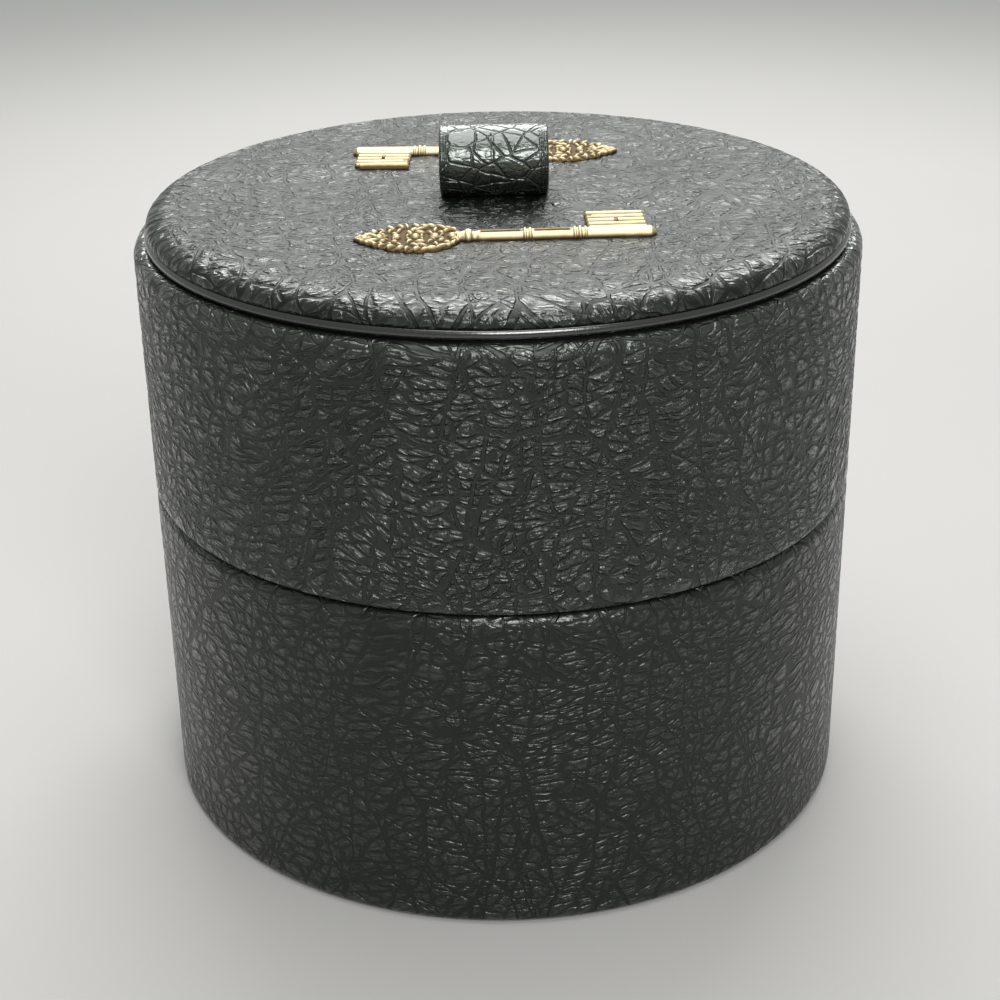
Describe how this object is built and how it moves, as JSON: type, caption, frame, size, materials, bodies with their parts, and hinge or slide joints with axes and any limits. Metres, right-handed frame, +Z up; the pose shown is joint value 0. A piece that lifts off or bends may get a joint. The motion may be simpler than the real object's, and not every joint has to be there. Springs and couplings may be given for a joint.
{
  "type": "collar box",
  "caption": "Round drum-shaped leather-covered collar box in two stacked tiers, with a padded lid, a rolled leather pull loop and raised brass keys on top.",
  "frame": {"origin": "middle of the flat base, on the surface that the box stands on", "axes": "+Z up through the lid; +X along the pull loop's axis and the keys' stems, so that the front key's bit is on the right; the front is -Y"},
  "size_m": [0.165, 0.165, 0.1579],
  "materials": {
    "grained_leather": "creased grain, semi-gloss",
    "smooth_leather": "rolled and polished",
    "pasteboard": "raw",
    "paper_faced_board": "black glazed paper",
    "satin_lining": "satin",
    "wadding": "cotton wadding",
    "key_brass": "pale gilt, worn",
    "base_paper": "black glazed paper"
  },
  "bodies": {
    "lower_tier": {"lower_wall": "pasteboard", "lower_base": "pasteboard", "lower_cover": "grained_leather", "base_cover": "base_paper", "lower_neck": "paper_faced_board", "lower_lining": "satin_lining", "lower_floor_pad": "satin_lining"},
    "upper_tier": {"upper_wall": "pasteboard", "upper_floor": "pasteboard", "upper_underside": "smooth_leather", "upper_cover": "grained_leather", "upper_lining": "satin_lining", "upper_floor_pad": "satin_lining"},
    "lid": {"lid_board": "pasteboard", "lid_flange": "smooth_leather", "lid_plug": "paper_faced_board", "lid_lining": "satin_lining", "pad_card": "pasteboard", "lid_wadding": "wadding", "lid_cover": "grained_leather", "pull_loop": "smooth_leather", "front_key": "key_brass", "rear_key": "key_brass"}
  },
  "joints": [
    {"name": "upper_tier_lift", "type": "slide", "parent": "lower_tier", "child": "upper_tier", "axis": [0, 0, 1], "range_m": [0, 0.12]},
    {"name": "lid_lift", "type": "slide", "parent": "upper_tier", "child": "lid", "axis": [0, 0, 1], "range_m": [0, 0.1]}
  ]
}
